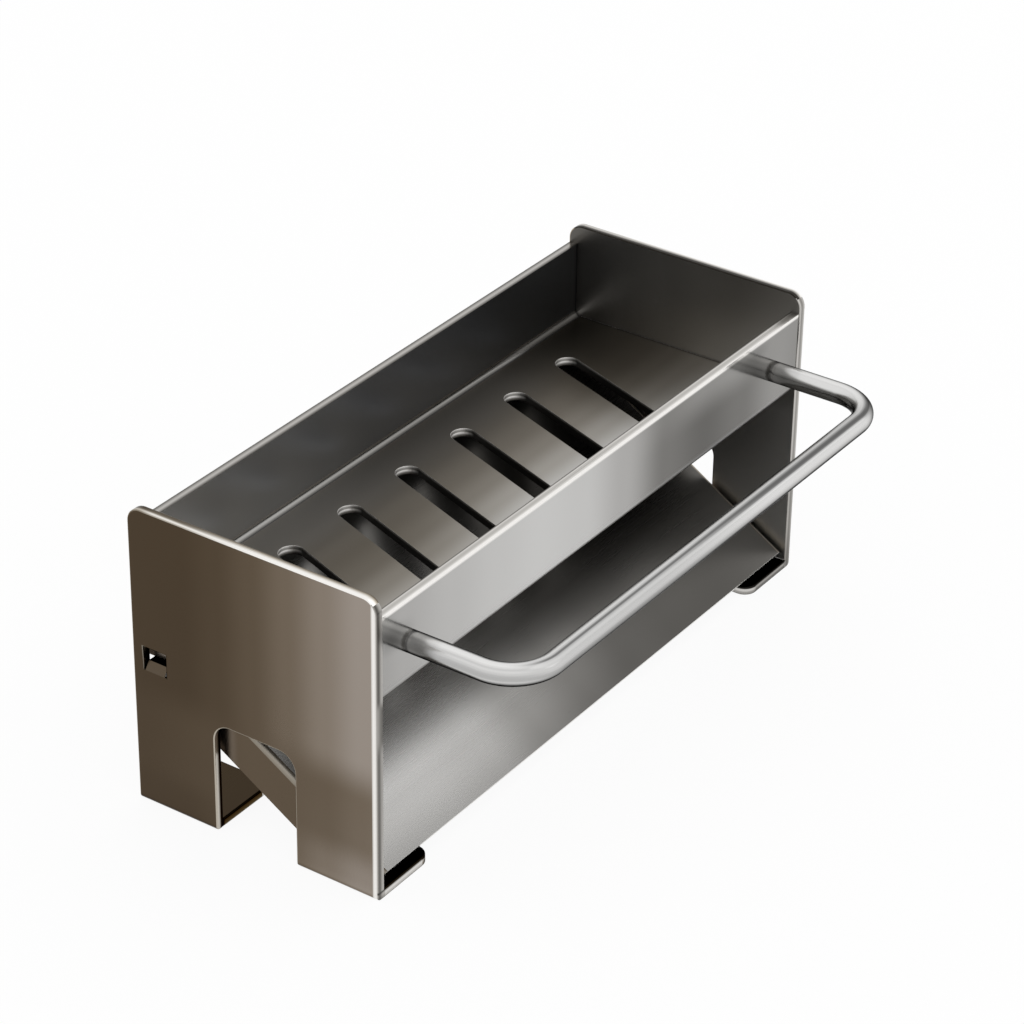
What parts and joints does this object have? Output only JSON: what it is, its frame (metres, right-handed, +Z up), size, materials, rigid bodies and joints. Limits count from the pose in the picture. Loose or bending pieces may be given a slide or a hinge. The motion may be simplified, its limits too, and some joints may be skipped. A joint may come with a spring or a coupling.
{
  "type": "sponge holder",
  "caption": "Free-standing metal sponge holder: a slotted tray between two end plates, a sloping drip deflector below and a towel bar in front.",
  "frame": {"origin": "on the table under the middle of the object's bounding box, towel bar included", "axes": "+X along the length to the right end plate, +Y to the back, away from the towel bar, +Z up"},
  "size_m": [0.232, 0.132, 0.103],
  "materials": {
    "end_plate_steel": "satin",
    "tray_steel": "satin",
    "deflector_steel": "satin",
    "rod_steel": "fine satin"
  },
  "bodies": {
    "holder": {"left_end_plate": "end_plate_steel", "right_end_plate": "end_plate_steel", "tray": "tray_steel", "towel_bar": "rod_steel"},
    "drip_tray": {"deflector": "deflector_steel"}
  },
  "joints": [
    {"name": "deflector_slide", "type": "slide", "parent": "holder", "child": "drip_tray", "axis": [0, -1, 0], "range_m": [0, 0.09]}
  ]
}
